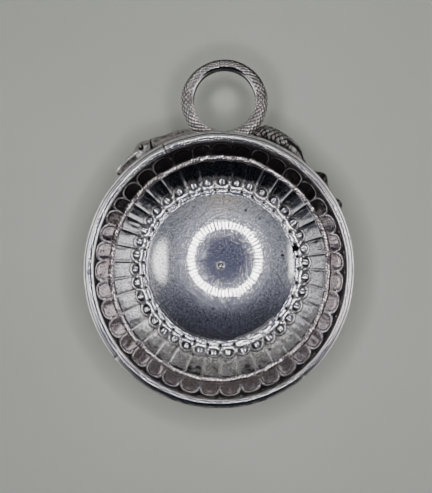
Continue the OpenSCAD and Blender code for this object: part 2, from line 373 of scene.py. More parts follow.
    # scallops: an arched outline, a dark groove inside it and a crowned pad
    tip, spring = 37.25 + 0.07 * j[4], 35.0 + 0.12 * j[5]
    y = np.maximum(A - spring, 0) / (tip - spring)
    ins = w * (1 - (np.abs(x / w) ** 2.3 + y**2.3) ** (1 / 2.3))
    zone = smooth(0.1, 0.6, up) * (1 - smooth(37.5, 37.8, A))
    part = 0.16 * smooth(spring - 0.5, spring + 0.7, A)
    outl = np.exp(-(((ins - part) / 0.185) ** 2)) * zone
    groove = np.exp(-(((ins - part - 0.46) / 0.16) ** 2)) * zone * (0.45 + 0.55 * smooth(34.0, 35.2, A))
    pad = (0.11 * smooth(0.55, 0.95, ins) + 0.20 * smooth(0.7, 2.3, ins) * (1 - 0.75 * smooth(33.8, 36.7, A))) * (1 + 0.15 * j[2])
    uneven = (0.040 * waves(t, s, 23, 11, (60, 200), 0.14) + 0.024 * waves(t, s, 24, 11, (180, 380), 0.28)) * smooth(0.6, 1.0, ins)
    d += zone * (pad + uneven) + (0.13 - 0.03 * top) * outl - 0.12 * groove
    spandrel = smooth(0.02, -0.20, ins) * smooth(34.7, 35.5, A) * zone
    d -= 0.06 * spandrel
    # painted shade on the scallops: near black near the ring, darker towards the bottom
    dark = np.maximum(dark, zone * (0.04 + 0.21 * smooth(105, 150, turned) + 0.85 * (1 - smooth(50, 80, turned)) + 0.08 * j[6]))
    dark = np.maximum(dark, np.maximum(1.0 * groove, 0.92 * spandrel))
    # outlines rubbed bright, except near the ring where painted shade stays
    dark = dark * (1 - np.clip(1.2 * outl, 0, 1) * (1 - 0.86 * top))
    matt = np.maximum(matt, np.maximum(0.32 * zone, 0.8 * outl))

    # the plain band under the rim, with a punched dot between the tips
    band = smooth(37.32, 37.52, A)
    dark = np.maximum(dark, 0.72 * band)
    q = np.hypot(off - 0.08 * b[1], (A - (37.66 + 0.07 * b[4])) * 1.15) / (0.29 + 0.04 * b[5])
    dot = (q < 1) & (b[3] > -0.7)
    d = d + np.where(dot, 0.20 * (1 - np.clip(q, 0, 1) ** 2.5), 0)
    dark = np.where(dot, dark * smooth(0.6, 1.0, q), dark)

    # nothing stands on the lip itself
    d = d * (1 - smooth(S_FOOT - 1.2, S_FOOT, s))
    return d, np.clip(dark, 0, 1), np.clip(matt, 0, 1), np.clip(outl, 0, 1)


# ------------------------------------------------------------------ bowl
def build_bowl():
    rows = []  # distance up the wall, and how many of the finest angles one step of the row takes
    boss_len = BIG_R * BOSS_A

    def span(stride, hi, lo, n):
        rows.extend((float(s_at(a)), stride) for a in np.linspace(hi, lo, n))

    rows.extend((s, 2) for s in np.linspace(S_LIP, S_FOOT, 3))
    span(2, 38.02, 37.45, 4)
    span(2, 37.30, 33.72, 21)
    rows.extend((k, 1 if k < 910 else 2) for k in range(900, 900 + len(ROPE_SEC)))  # the rope's own section
    rows.append((ROPE_S - ROPE_LOW - 0.1, 2))
    span(2, 32.15, 31.15, 6)
    span(2, 30.90, 26.70, 13)
    span(2, 26.52, 26.38, 2)
    span(1, 26.26, 22.50, 25)
    rows.extend((s, 1) for s in (-0.05, -0.22, -0.42, -0.60))
    rows.extend((s, 8) for s in np.r_[-0.85, -1.1, -1.5, -2.1, -2.8, np.linspace(-3.6, -0.6 - boss_len + 3.0, 18)])
    rows.extend((s, 8) for s in -0.6 - boss_len + np.linspace(2.75, 0.30, 22))
    rows.extend((s, 32) for s in -0.6 - boss_len + np.r_[0.2, 0.1])
    verts, rings, at = [], [], 0
    grime_and_shade, warm, zone, hazy = [], [], [], []
    punch = np.array([0.03, 0.68])
    for s0, stride in rows:
        th = TH[::stride]
        rub = 0.0
        # the rows follow the rope as it wanders
        s = s0 + (rope_at(th) - ROPE_S) * smooth(ROPE_S - 6.0, ROPE_S - 2.2, s0) * (1 - smooth(ROPE_S + 0.8, ROPE_S + 4.5, s0))
        if s0 >= 900:
            s = rope_at(th)
        r, z, nr, nz = inside(s)
        if s0 >= 900:
            # struck in short slanting strokes, six to a flute
            k = s0 - 900
            turn = 2 * PI * (6 * NF * th / 360 + 0.55 * ROPE_SEC[k, 0]) + 0.9 * waves(th, 0, 13, 7, (20, 90), 0)
            strand = np.clip((0.5 + 0.5 * np.cos(turn)) * (0.85 + 0.30 * waves(th, ROPE_SEC[k, 0], 15, 7, (60, 200), 0.25)), 0, 1)
            body = float(smooth(0.0, 0.3, ROPE_SEC[k, 0]) * smooth(-1.0, -0.3, ROPE_SEC[k, 1]))
            swell = 1 + 0.10 * waves(th, 0, 17, 7, (8, 50), 0)
            r = r - ROPE_SEC[k, 0] * swell
            z = z + ROPE_SEC[k, 1] + 0.042 * body * (strand - 0.5) - np.tan((0.2 - 2.4 * np.cos(th * RAD)) * RAD) * (ROPE_SEC[k, 0] - 0.5) * body
            d = np.zeros(len(th))
            # dark in the gaps between the strands; painted shade where the rope meets the wall and under it
            g = np.maximum(0.85 * (1 - strand) ** 3, 0.70 * (1 - body))
            m = np.full(len(th), 1.0)
        elif s0 > -1.6:
            d, g, m, rub = relief(s, th)
        else:
            d, g, m = np.zeros(len(th)), np.zeros(len(th)), np.zeros(len(th))
        if s0 < -0.6:
            # planished boss: faint flats from the hammer, and the small ring punched at its centre
            d = d + 0.0018 * waves(th, r, 31, 8, (3, 9), 0.06) * smooth(1.0, 9.0, r)
            dp = np.hypot(r * np.sin(th * RAD) - punch[0], r * np.cos(th * RAD) - punch[1])
            d = d + 0.13 * np.exp(-(((dp - 1.10) / 0.20) ** 2)) - 0.14 * np.exp(-(((dp - 0.74) / 0.18) ** 2)) + 0.02 * np.exp(-((dp / 0.36) ** 2))
            g = np.maximum(g, 1.0 * np.exp(-(((dp - 0.72) / 0.24) ** 2)) + 0.45 * np.exp(-((dp / 0.5) ** 2)) + 0.60 * np.exp(-(((dp - 1.48) / 0.14) ** 2)))
            m = np.maximum(m, np.exp(-(((dp - 1.10) / 0.30) ** 2)))
        verts.append(polar(r + nr * d, th, z + nz * d))
        grime_and_shade.append(g)
        warm.append(np.where(s > 0, smooth(31.2, 33.2, look(s)) * (0.75 if s0 >= 900 else 1.0), 0.0) * (1 - 0.8 * rub))
        zone.append(m)
        hazy.append(np.full(len(th), 1.0 if s0 < -0.6 else 0.15))
        rings.append(np.arange(at, at + len(th)))
        at += len(th)
    verts.append([[0, 0, BOSS_C + BIG_R]])
    grime_and_shade.append([0.3]), warm.append([0.0]), zone.append([0.0]), hazy.append([1.0])
    top_mid = at
    at += 1

    # outside, from the lip down, with the backs of the flutes showing as soft lobes, toned darker than the inside
    outer = []
    th = TH[::4]
    i, t, mid, hw = flute_of(th)
    x = (t - mid) / hw
    for s in np.r_[np.linspace(S_LIP, S_FOOT + 0.2, 3), np.linspace(S_FOOT - 0.2, 0.9, 20)]:
        r, z, nr, nz = (float(v) for v in inside(s))
        a = look(s)
        lobe = 0.22 * (1 - x**2) * smooth(25.5, 26.8, a) * (1 - smooth(30.8, 31.5, a))
        lobe = lobe + 0.24 * (1 - x**2) * smooth(33.0, 33.8, a) * (1 - smooth(35.8, 36.9, a + 0.6 * x**2))
        lobe = lobe - 0.10 * np.exp(-(((a - 32.2) / 0.4) ** 2)) + 0.02 * waves(th, s, 37, 9, (5, 60), 0.1)
        lobe = lobe * (1 - smooth(S_FOOT - 2.0, S_FOOT, s))
        k = -(SHEET + lobe)
        pz = np.maximum(z + nz * k, 0.04)
        worn = 0.49 + 0.40 * np.exp(-(((1 - np.abs(x)) / 0.12) ** 2)) * smooth(2.5, 5, s) * (1 - smooth(22, 24, s)) - 0.16 * (1 - x**2) * smooth(3, 6, s)
        outer.append((polar(r + nr * k, th, pz), worn))
    for r, z in ((25.7, 0.03), (25.4, 0.0), (24.8, 0.0), (24.2, 0.0)):
        outer.append((polar(r, th, np.full(len(th), z)), np.full(len(th), 0.14)))
    for f in np.linspace(0.955 * BOSS_A, 0.006, 22):
        tt = TH[:: 8 if f > 0.03 else 32]
        rr = (BIG_R - SHEET) * math.sin(f)
        zz = BOSS_C + (BIG_R - SHEET) * math.cos(f)
        outer.append((polar(rr, tt, np.full(len(tt), zz) + 0.015 * waves(tt, rr, 41, 8, (3, 16), 0.1)), np.full(len(tt), 0.36)))
    out_rings = []
    for pts, g in outer:
        verts.append(pts)
        grime_and_shade.append(np.broadcast_to(g, (len(pts),)))
        warm.append(np.full(len(pts), 0.75))
        zone.append(np.full(len(pts), 0.5))
        hazy.append(np.full(len(pts), 1.0))
        out_rings.append(np.arange(at, at + len(pts)))
        at += len(pts)
    verts.append([[0, 0, BOSS_C + BIG_R - SHEET]])
    grime_and_shade.append([0.36]), warm.append([0.75]), zone.append([0.5]), hazy.append([1.0])
    low_mid = at

    quads, tris = [], []
    for a, b in zip(rings[:-1], rings[1:]):
        q, t3 = join_rows(a, b, False)
        quads.append(q), tris.append(t3)
    for a, b in zip(out_rings[:-1], out_rings[1:]):
        q, t3 = join_rows(a, b, True)
        quads.append(q), tris.append(t3)
    q, t3 = join_rows(rings[0], out_rings[0], True)
    quads.append(q), tris.append(t3)
    a = rings[-1]
    tris.append(np.stack([a, np.full(len(a), top_mid), np.roll(a, -1)], 1))
    a = out_rings[-1]
    tris.append(np.stack([a, np.roll(a, -1), np.full(len(a), low_mid)], 1))
    v = hand(np.concatenate([np.asarray(p, float).reshape(-1, 3) for p in verts]))
    ob = mesh_object("bowl_sheet", v, np.concatenate(quads), np.concatenate(tris),
                     {"grime_and_shade": np.concatenate(grime_and_shade), "warm": np.concatenate(warm), "chased": np.concatenate(zone), "hazy": np.concatenate(hazy)})
    return ob


# ------------------------------------------------------------------ rim
def build_rim():
    rin, rout = LIP_R - 0.42, LIP_R - 0.42 + 2.92
    rr = [rin, rin + 0.66, rin + 1.92, rout]
    zz = [TOP - 0.75, TOP - 0.42, TOP - 0.58, TOP - 1.30]
    hh = [0.30, 0.27, 0.42]
    prof, dirt_and_shade = [], []

    def add(r, z, g):
        prof.append((r, z)), dirt_and_shade.append(g)

    # darkness per point: tarnish in the valleys between the reeds; painted shade on the inner face under the moulding,
    # on the outer reed and under the moulding's outside
    for k in range(4):
        add(rin + 0.02 * (k == 0), LIP_TOP + (zz[0] - LIP_TOP) * k / 4, 0.45)
    for j in range(3):
        n = 14
        for i in range(n if j < 2 else n + 1):
            u = i / n
            v = 0.5 - 0.5 * math.cos(PI * u)
            r = rr[j] + (rr[j + 1] - rr[j]) * v
            add(r, zz[j] + (zz[j + 1] - zz[j]) * v + hh[j] * math.sin(PI * u) ** 0.8,
                float((0.05, 0.05, 0.40)[j] + 0.95 * (1 - smooth(0.06, 0.16, min(abs(r - rr[1]), abs(r - rr[2]))))))
    for r, z in ((rout - 0.03, TOP - 1.75), (rout - 0.06, TOP - 2.1), (rout - 0.14, TOP - 2.36), (rout - 0.3, TOP - 2.4),
                 (LIP_R + SHEET + 0.02, TOP - 2.4), (LIP_R + SHEET + 0.02, LIP_TOP)):
        add(r, z, 0.35)
    prof, dirt_and_shade = np.array(prof), np.array(dirt_and_shade)
    m = len(prof)
    gap = BUTT_GAP / LIP_R / RAD
    n = 820
    a = BUTT_AT + gap / 2 + (360 - gap) * np.linspace(0, 1, n)
    # closer steps next to the joint
    a = np.sort(np.r_[a, BUTT_AT + gap / 2 + np.array([0.05, 0.12, 0.22]), BUTT_AT + 360 - gap / 2 - np.array([0.05, 0.12, 0.22])])
    n = len(a)
    R = np.repeat(prof[None, :, 0], n, 0)
    Z = np.repeat(prof[None, :, 1], n, 0)
    upper = smooth(LIP_TOP - 0.2, TOP - 0.4, prof[:, 1])[None, :]
    cx = (prof[:, 0] - 39.6)[None, :]
    A = a[:, None]
    # drawn by hand: the reeds wander, and knocks have left flats and small nicks
    R = R + 0.04 * waves(A, 0, 51, 9, (3, 30), 0) * upper + 0.40 * np.sin(A * RAD) * smooth(40.0, rin, prof[:, 0])[None, :]
    Z = Z + 0.03 * waves(A, 0, 53, 9, (3, 34), 0) * upper
    for at, wide, deep, rc in ((229.6, 0.55, 0.42, 0.75), (100.7, 0.5, 0.30, 0.85), (312.0, 1.6, 0.10, 0.2), (63.0, 1.0, 0.12, -0.5), (184.0, 2.4, 0.08, 0.6), (31.0, 0.9, 0.10, -0.4), (141.0, 0.7, 0.16, 0.8), (268.0, 1.2, 0.08, -0.2)):
        da = (A - at + 180) % 360 - 180
        dent = deep * np.exp(-((da / wide) ** 2)) * np.exp(-(((cx - rc) / 0.55) ** 2)) * upper
        Z = Z - dent
        R = R - 0.7 * dent * (rc > 0.3)
    # the two ends at the joint are filed round
    for end, sgn in ((a[0], 1), (a[-1], -1)):
        da = np.clip((A - end) * sgn, 0, None)
        k = np.exp(-((da / 0.30) ** 2)) * upper
        Z = Z - 0.34 * k
        R = R - 0.10 * k * np.sign(cx)
    g = np.repeat(dirt_and_shade[None, :], n, 0)
    # painted shade in the gap at the joint
    g = np.maximum(g, np.exp(-((np.abs(((A - BUTT_AT + 180) % 360) - 180) / 0.55) ** 2)) * 0.9)
    v = hand(polar(R, A, Z).reshape(-1, 3))
    quads = grid_faces(n, m)
    c0 = np.r_[v[:m].mean(0)]
    c1 = np.r_[v[-m:].mean(0)]
    base = len(v)
    v = np.vstack([v, c0, c1])
    tris = np.vstack([cap_fan(0, m, base, False), cap_fan((n - 1) * m, m, base + 1, True)])
    return mesh_object("rim_reeds", v, quads, tris, {"grime_and_shade": np.r_[g.ravel(), 1, 1], "warm": 0.0, "chased": 0.2}, sharp=55)


def build_rim_seam():
    r0, z0 = LIP_R + SHEET - 0.06, TOP - 2.4
    n = 420
    a = np.arange(n) * 360 / n
    swell = 1 + 0.28 * waves(a, 0, 61, 9, (6, 70), 0)
    f = np.linspace(0, 1, 9)
    R, Z = [], []
    for u in f:  # concave fillet from under the moulding down the wall
        R.append(r0 + 0.55 * (1 - u) ** 2 * swell + 0.06)
        Z.append(z0 + 0.03 - 0.62 * u**2 * swell)
    R.append(np.full(n, r0 - 0.05)), Z.append(z0 - 0.70 * swell)
    R.append(np.full(n, r0 - 0.05)), Z.append(np.full(n, z0 + 0.03))
    R, Z = np.array(R).T, np.array(Z).T
    v = hand(polar(R, a[:, None], Z).reshape(-1, 3))
    return mesh_object("rim_solder", v, grid_faces(n, R.shape[1], closed_n=True), (), {"grime_and_shade": 0.35, "warm": 0.3, "chased": 0.5}, sharp=60)


# ------------------------------------------------------------------ serpent
def scales(a, v, depth, lean=0.35):
    """Height of a skin of diamond scales at a running count along and across, and how dark the joints are."""
    p, q = a + v, a - v
    fp, fq = p - np.floor(p), q - np.floor(q)
    m = np.maximum(np.abs(2 * fp - 1), np.abs(2 * fq - 1))
    h = depth * (1 - m**2) * (1 - lean + lean * (fp + fq))
    return h, smooth(0.72, 0.95, m)


def section_loop(n):
    """Outline of the ring's section as radius from the ring's axis and height, its outward normal, and the length from the outermost point."""
    c = (RING_OUT + RING_IN) / 2 - 0.3
    ax = RING_OUT - c
    land = math.acos((RING_IN - c) / ax)
    f = np.linspace(-land, land, 600)
    x, y = c + ax * np.cos(f), RING_HALF * np.sin(f)
    yy = np.linspace(y[-1], y[0], 120)[1:-1]
    x, y = np.r_[x, np.full(len(yy), RING_IN)], np.r_[y, yy]
    # ease the two corners
    for _ in range(60):
        x = 0.5 * x + 0.25 * (np.roll(x, 1) + np.roll(x, -1))
        y = 0.5 * y + 0.25 * (np.roll(y, 1) + np.roll(y, -1))
    k = int(np.argmax(x))
    x, y = np.roll(x, -k), np.roll(y, -k)
    L = np.r_[0, np.cumsum(np.hypot(np.diff(np.r_[x, x[0]]), np.diff(np.r_[y, y[0]])))]
    u = np.arange(n) / n * L[-1]
    xs, ys = np.interp(u, L, np.r_[x, x[0]]), np.interp(u, L, np.r_[y, y[0]])
    tx, ty = np.roll(xs, -1) - np.roll(xs, 1), np.roll(ys, -1) - np.roll(ys, 1)
    nn = np.hypot(tx, ty)
    run = np.where(u > L[-1] / 2, u - L[-1], u)
    return xs, ys, ty / nn, -tx / nn, run


RING_FIX = np.array([0.0, 0.0])


def build_ring():
    na, nb = 640, 96
    a = np.arange(na) * 360 / na
    x, y, nx, ny, run = section_loop(nb)
    A = a[:, None]
    count = 46
    far = np.clip(np.cos(A * RAD), 0, 1)
    side = np.abs(run)[None, :] / np.abs(run).max() + 0.13 * far
    skin = 1 - smooth(0.63, 0.84, side)
    bore = smooth(-0.55, -0.9, nx)[None, :]
    h, dk = scales(count * A / 360 + 0.0 * run, run[None, :] / 1.30 + 0.5, 0.36, 0.55)
    worn = 0.66 + 0.38 * np.clip(0.5 + 0.6 * waves(A, run[None, :], 71, 8, (2, 12), 0.05), 0, 1)
    h = h * skin * worn
    thick = 1 + 0.025 * waves(A, 0, 73, 6, (1, 7), 0)
    X = 10.9 + (x[None, :] - 10.9) * np.where(x > 10.9, thick * (1 - 0.38 * np.clip(np.cos(A * RAD), 0, 1) ** 1.5), 1.0) + nx[None, :] * (h - 0.12 * skin)
    Y = y[None, :] * thick + ny[None, :] * (h - 0.12 * skin)
    P = np.stack([RING_X + X * np.sin(A * RAD), RING_Y + X * np.cos(A * RAD), RING_Z + Y], -1).reshape(-1, 3)
    # filed to sit on the wall
    rr = np.hypot(P[:, 0], P[:, 1])
    lim = wall_r(P[:, 2]) - 0.10
    k = np.maximum(1, lim / rr)
    P[:, 0] *= k
    P[:, 1] *= k
    P[:, 1] += 0.41
    # dark joints between the scales; painted shade in the bore and on the outer edge, strongest on the far side; a
    # painted highlight as a lighter strip between the scales and the bore
    g = 0.95 * dk * skin + 0.62 * bore + 0.14 - 0.10 * (1 - skin) * (1 - bore) + (0.25 + 0.45 * far) * smooth(0.15 + 0.15 * (1 - far), 0.8, nx[None, :])
    return mesh_object("serpent_coil", P, grid_faces(na, nb, closed_n=True)[:, ::-1], (), {"grime_and_shade": np.clip(g, 0, 1).ravel(), "warm": 0.30, "chased": 0.35})


def ease(keys, a):
    """Smooth steps through a list of [angle, value]."""
    keys = np.asarray(keys, float)
    i = np.clip(np.searchsorted(keys[:, 0], a, side="right") - 1, 0, len(keys) - 2)
    u = np.clip((a - keys[i, 0]) / (keys[i + 1, 0] - keys[i, 0]), 0, 1)
    return keys[i, 1] + (keys[i + 1, 1] - keys[i, 1]) * (1 - np.cos(PI * u)) / 2


def laid(a, zk, wk, hk, lo, nf=40, nb=6, power=0.8):
    """Sections of a body laid along the outside of the wall. Returns the path data that the details need and a function from (u, h) to points."""
    z, w, h = ease(zk, a), ease(wk, a), ease(hk, a)
    th, r = wall_th(z), wall_r(z)
    ds, dv = r * RAD * 0.5, (ease(zk, a + 0.25) - ease(zk, a - 0.25)) / np.sin(th)
    n = np.hypot(ds, dv)
    ts, tv = ds / n, dv / n
    f = np.r_[np.linspace(0, PI, nf + 1), np.zeros(nb)]
    u = np.r_[np.cos(f[: nf + 1]), -1 + 2 * np.arange(1, nb + 1) / (nb + 1)]
    e = np.r_[np.sin(f[: nf + 1]) ** power, np.zeros(nb)]

    def place(U, Hh):
        aa = a[:, None] - tv[:, None] * U / r[:, None] / RAD
        z2 = z[:, None] + ts[:, None] * U * np.sin(th)[:, None]
        t2 = wall_th(z2)
        rr = wall_r(z2) + Hh * np.sin(t2)
        return polar(rr, aa, z2 - Hh * np.cos(t2))

    length = np.r_[0, np.cumsum(np.hypot(np.diff(np.deg2rad(a)) * (r[1:] + h[1:] / 2), np.diff(z)))]
    return z, w, h, f, u, e, place, length


HEAD_Z = [[-36, 20.0], [-28, 20.1], [-9, 20.7]]
HEAD_W = [[-36, 1.61], [-33, 2.39], [-30, 2.6], [-22, 1.87], [-9, 1.7]]
HEAD_H = [[-36, 5.9], [-33, 6.5], [-28, 5.8], [-20, 4.8], [-9, 4.2]]
TAIL_Z = [[12.6, 20.6], [25, 20.3], [41.5, 16.9], [48.7, 20.0], [55.6, 17.3], [61.6, 19.6], [67.4, 17.9], [74, 18.7]]
TAIL_W = [[12.6, 1.5], [19, 2.2], [30, 1.89], [41.5, 1.41], [55.6, 1.06], [74, 0.44]]
TAIL_H = [[12.6, 3.2], [18.5, 6.7], [29, 6.4], [33, 6.1], [37.5, 4.4], [41.5, 3.6], [44, 3.6], [47.8, 4.6], [52, 3.5], [55.6, 2.9], [61.2, 3.9], [65, 2.7], [74, 0.9]]


def close_tube(name, P, attrs, sharp=None, flip=False):
    """A closed mesh from sections P (n, m, 3), each end capped with a fan to its middle."""
    n, m = P.shape[:2]
    v = P.reshape(-1, 3)
    q = grid_faces(n, m)
    if flip:
        q = q[:, ::-1]
    c = np.vstack([P[0].mean(0), P[-1].mean(0)])
    t = np.vstack([cap_fan(0, m, n * m, flip), cap_fan((n - 1) * m, m, n * m + 1, not flip)])
    at = {k: np.r_[np.broadcast_to(val, (n, m)).ravel(), 0.4, 0.4] for k, val in attrs.items()}
    return mesh_object(name, hand(np.vstack([v, c])), q, t, at, sharp)


def build_head():
    a = np.r_[-36 - np.array([0.85, 0.82, 0.72, 0.5, 0.25]), np.linspace(-36, -9, 190)]
    z, w, h, f, u, e, place, length = laid(np.clip(a, -36, 0), HEAD_Z, HEAD_W, HEAD_H, 0.22, nf=56)
    # round off the snout
    end = np.where(a < -36, np.sqrt(np.clip(1 - ((-36 - a) / 0.86) ** 2, 0, 1)), 1.0)
    A, F = a[:, None], f[None, :]
    front = (e > 0)[None, :] * 1.0
    U = w[:, None] * end[:, None] * u[None, :]
    H = 0.05 + h[:, None] * (0.35 + 0.65 * end[:, None]) * e[None, :]
    deg = F / RAD
    # eyes with a socket, brow ridges, the line of the mouth, and a crease behind the jaw
    for sgn, fd in ((1, 40.0), (-1, 140.0)):
        dist = np.hypot((A + 32.6) * 0.74, (deg - fd) * RAD * 3.4)
        eye = np.sqrt(np.clip(0.46**2 - dist**2, 0, None))
        H = H + front * (0.85 * eye - 0.24 * np.exp(-(((dist - 0.62) / 0.18) ** 2)))
        brow = np.exp(-(((A + 31.2) / 2.6) ** 2)) * np.exp(-(((deg - (fd + sgn * 26)) / 9) ** 2))
        H = H + front * 0.30 * brow
        nos = np.hypot((A + 35.2) * 0.74, (deg - (fd + sgn * 22)) * RAD * 3.0)
        H = H - front * 0.35 * np.exp(-((nos / 0.28) ** 2))
    mouth = np.exp(-(((deg - 92) / 5.0) ** 2)) * smooth(-30.0, -32.0, A)
    H = H - front * 0.55 * mouth
    jaw = np.exp(-(((A + 27.4 + 0.02 * np.abs(deg - 90)) / 0.45) ** 2))
    H = H - front * 0.14 * jaw * np.clip(np.sin(F), 0, 1)
    H = H + front * 0.05 * waves(A * 6, deg / 12, 81, 9, (1, 12), 0.3) * np.clip(np.sin(F), 0, 1)
    for fd in (20.0, 36.0, 54.0, 72.0):
        H = H - front * 0.13 * np.exp(-(((deg - fd - 4 * np.sin(A / 3)) / 3.4) ** 2)) * smooth(-28.5, -26.5, A)
    P = place(U, H)
    shift = np.where(a < -36, -(-36 - a), 0.0)[:, None]
    c, s_ = np.cos(shift * RAD), np.sin(shift * RAD)
    P = np.stack([P[..., 0] * c + P[..., 1] * s_, -P[..., 0] * s_ + P[..., 1] * c, P[..., 2]], -1)
    # dark in the eye sockets, mouth and jaw crease; painted shade along the outer edge and along both feet where the
    # body meets the wall
    dark = np.zeros_like(H)
    for fd in (40.0, 140.0):
        dist = np.hypot((A + 32.6) * 0.74, (deg - fd) * RAD * 3.4)
        dark = np.maximum(dark, 0.95 * np.exp(-(((dist - 0.60) / 0.20) ** 2)))
    dark = np.maximum(dark, np.maximum(0.9 * mouth, 0.35 * jaw)) + 0.42 + 0.5 * np.exp(-(((np.minimum(deg, 180 - deg)) / 16) ** 2)) + 0.25 * np.exp(-(((deg - 96) / 20) ** 2))
    head = close_tube("serpent_neck_head", P, {"grime_and_shade": np.clip(dark, 0, 1), "warm": 0.45, "chased": 0.3})

    # the tongue, a flat blade that runs straight on from the mouth
    keys = [[-46.4, 42.55, 0.85], [-45.2, 42.75, 1.10], [-42, 42.85, 1.28], [-38.0, 42.85, 1.32], [-34.2, 42.85, 1.25]]
    b = np.r_[-46.4 - np.array([0.62, 0.60, 0.52, 0.36, 0.18]), np.linspace(-46.4, -34.2, 70)]
    endb = np.where(b < -46.4, np.sqrt(np.clip(1 - ((-46.4 - b) / 0.63) ** 2, 0, 1)), 1.0)
    rc = ease([[k[0], k[1]] for k in keys], b)
    hw = ease([[k[0], k[2]] for k in keys], b) * endb
    hz = ease([[-46.4, 0.60], [-43, 0.75], [-34.2, 0.80]], b) * (0.3 + 0.7 * endb)
    g = np.arange(28) / 28 * 2 * PI
    sq = lambda v: np.sign(v) * np.abs(v) ** 0.62
    R = rc[:, None] + hw[:, None] * sq(np.cos(g))[None, :]
    edge = smooth(0.30, 0.62, sq(np.cos(g)))[None, :] * (np.sin(g) > 0.05)[None, :]
    Z = 19.75 + hz[:, None] * sq(np.sin(g))[None, :] + 0.34 * edge
    tongue = close_tube("serpent_tongue", polar(R, b[:, None], Z), {"grime_and_shade": 0.66 - 0.56 * edge + 0.0 * R, "warm": 0.3, "chased": 0.6}, flip=True)
    return head, tongue


def build_tail():
    a = np.r_[np.linspace(12.6, 74, 430), 74 + np.array([0.2, 0.36, 0.48, 0.56, 0.6])]
    z, w, h, f, u, e, place, length = laid(np.clip(a, 0, 74), TAIL_Z, TAIL_W, TAIL_H, 0.22, nf=46)
    end = np.where(a > 74, np.sqrt(np.clip(1 - ((a - 74) / 0.61) ** 2, 0, 1)), 1.0)
    A, F = a[:, None], f[None, :]
    deg = F / RAD
    front = (e > 0)[None, :] * 1.0
    U = w[:, None] * end[:, None] * u[None, :]
    H = 0.05 + h[:, None] * (0.3 + 0.7 * end[:, None]) * e[None, :]
    skin = (1 - smooth(25.5, 29.0, A)) * smooth(13.0, 15.0, A) * smooth(14, 30, np.minimum(deg, 180 - deg))
    hh, dk = scales(length[:, None] / 1.55, (deg - 90) / 26.0 + 0.5, 0.42, 0.5)
    H = H + front * skin * (hh - 0.14)
    # past the scales, two long creases on the smooth part, then fine rings along the tail
    smoothp = smooth(26, 29, A) * (1 - smooth(36, 39, A))
    H = H - front * smoothp * 0.26 * np.exp(-(((deg - 46 - 0.8 * (A - 32)) / 6.0) ** 2))
    rings = smooth(40, 44, A) * (0.5 + 0.5 * np.cos(2 * PI * length[:, None] / 1.25)) ** 3
    H = H - front * 0.05 * rings * np.clip(np.sin(F), 0, 1)
    H = H + front * 0.06 * waves(A * 5, deg / 14, 83, 9, (1, 14), 0.3) * np.clip(np.sin(F), 0, 1) * np.minimum(1, h[:, None] / 3)
    P = place(U, H)
    # dark joints between the scales, in the creases and the rings, darker towards the tip; painted shade along the
    # outer edge and along both feet where the body meets the wall
    dark = 0.9 * dk * skin + 0.6 * smoothp * np.exp(-(((deg - 46 - 0.8 * (A - 32)) / 7.0) ** 2)) + 0.3 * rings
    dark = dark + 0.42 + 0.14 * (1 - skin) + 0.10 * smooth(40, 46, A) + 0.5 * np.exp(-(((np.minimum(deg, 180 - deg)) / 16) ** 2)) + 0.30 * np.exp(-(((deg - 96) / 22) ** 2))
    return close_tube("serpent_tail_body", P, {"grime_and_shade": np.clip(dark, 0, 1), "warm": 0.35, "chased": 0.6}, flip=True)


def build_bed(name, a0, a1, n, zk, wk, seed):
    """Solder along the foot of the head or the tail: a low skirt that runs out on the wall."""
    a = np.linspace(a0, a1, n)
    wk = [[k[0], k[1] + 0.36] for k in wk]
    z, w, h, f, u, e, place, length = laid(a, zk, wk, [[a0 - 1, 0.25], [a1 + 1, 0.25]] if a0 < a1 else [[a1 - 1, 0.25], [a0 + 1, 0.25]], 0.0, nf=24, power=0.55)
    swell = 1 + 0.22 * waves(a[:, None] * 5, 0, seed, 7, (1, 12), 0)
    U = w[:, None] * u[None, :] * (0.97 + 0.05 * swell)
    H = -0.04 + (h[:, None] + 0.14) * e[None, :] * swell
    return close_tube(name, place(U, H), {"grime_and_shade": 0.42 + 0.0 * H, "warm": 0.35, "chased": 0.5}, flip=a0 < a1)


def build_fillets():
    """The two smooth wedges of solder between the coil and the wall."""
    obs = []
    for name, a0, a1, hs, zc in (("solder_wedge_right", 4.6, 15.2, [[4.6, 1.9], [7.5, 3.05], [10.5, 2.35], [15.2, 1.1]], 20.9),
                                 ("solder_wedge_left", -12.4, -1.6, [[-12.4, 0.9], [-7.6, 2.2], [-4.6, 3.05], [-1.6, 1.9]], 20.9)):
        a = np.linspace(a0, a1, 60)
        zk = [[a0, zc], [a1, zc]]
        wk = [[a0, 1.35], [(a0 + a1) / 2, 1.75], [a1, 1.35]]
        z, w, h, f, u, e, place, length = laid(a, zk, wk, hs, 0.0, nf=32, power=0.62)
        U = w[:, None] * u[None, :]
        H = -0.04 + h[:, None] * e[None, :] * (1 + 0.05 * waves(a[:, None] * 9, f[None, :], 91, 7, (1, 9), 0.3))
        obs.append(close_tube(name, place(U, H) + np.array([0, 0.13, 0]), {"grime_and_shade": 0.22 + 0.0 * H, "warm": 0.2, "chased": 0.4}, flip=True))
    return obs


